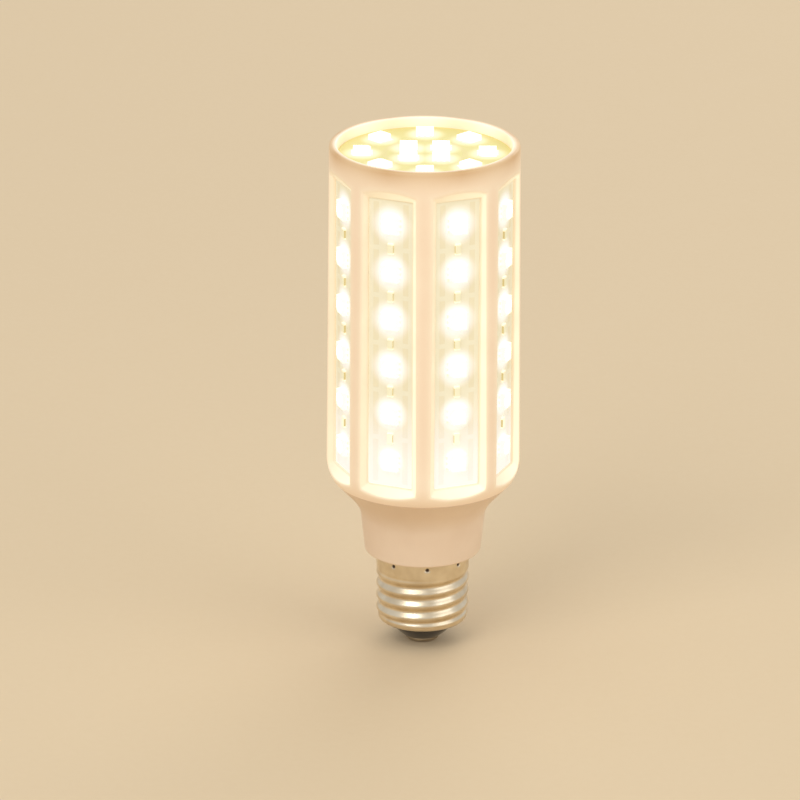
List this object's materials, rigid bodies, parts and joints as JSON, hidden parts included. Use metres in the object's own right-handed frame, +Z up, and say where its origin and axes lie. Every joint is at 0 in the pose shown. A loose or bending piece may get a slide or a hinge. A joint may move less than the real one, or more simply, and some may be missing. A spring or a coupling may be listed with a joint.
{
  "type": "corn led bulb",
  "caption": "Corn-shaped LED bulb with an E27 screw cap: strips of surface-mounted LEDs shine through the tall windows of a white moulded cage, and a round LED board closes its top.",
  "frame": {"origin": "centre of the flat face of the centre contact, at the cap's end", "axes": "+Z runs up the bulb's axis from the cap to the top board; -Y is the front, where one of the cage's ribs stands"},
  "size_m": [0.0544, 0.0544, 0.1471],
  "materials": {
    "housing": "satin moulded warm white",
    "board": "white solder mask",
    "led_body": "moulded white",
    "phosphor": "soft clear gel, lit warm white",
    "chip": "matt tan ceramic",
    "cap_metal": "nickel plated, satin",
    "cap_insulation": "smooth black",
    "contact_metal": "plated",
    "driver_laminate": "green laminate",
    "film_case": "dipped red brown",
    "can_sleeve": "shrunk sleeve",
    "fuse_case": "moulded",
    "red_lead": "smooth insulation",
    "black_lead": "smooth insulation",
    "tinned_wire": "tinned"
  },
  "bodies": {
    "root": {"cage": "housing", "base": "housing", "screw_shell": "cap_metal", "cap_insulator": "cap_insulation", "centre_contact": "contact_metal", "strip_board_1": "board", "strip_packages_1": "led_body", "strip_phosphors_1": "phosphor", "strip_resistors_1": "chip", "strip_board_2": "board", "strip_packages_2": "led_body", "strip_phosphors_2": "phosphor", "strip_resistors_2": "chip", "strip_board_3": "board", "strip_packages_3": "led_body", "strip_phosphors_3": "phosphor", "strip_resistors_3": "chip", "strip_board_4": "board", "strip_packages_4": "led_body", "strip_phosphors_4": "phosphor", "strip_resistors_4": "chip", "strip_board_5": "board", "strip_packages_5": "led_body", "strip_phosphors_5": "phosphor", "strip_resistors_5": "chip", "strip_board_6": "board", "strip_packages_6": "led_body", "strip_phosphors_6": "phosphor", "strip_resistors_6": "chip", "strip_board_7": "board", "strip_packages_7": "led_body", "strip_phosphors_7": "phosphor", "strip_resistors_7": "chip", "strip_board_8": "board", "strip_packages_8": "led_body", "strip_phosphors_8": "phosphor", "strip_resistors_8": "chip", "top_board": "board", "top_packages": "led_body", "top_phosphors": "phosphor", "driver_board": "driver_laminate", "film_capacitor": "film_case", "smoothing_capacitor": "can_sleeve", "bridge_rectifier": "fuse_case", "micro_fuse": "fuse_case", "bleed_resistor": "chip", "live_lead": "red_lead", "neutral_lead": "black_lead", "feed_lead": "red_lead", "return_lead": "black_lead", "link_wires": "tinned_wire"}
  },
  "joints": []
}
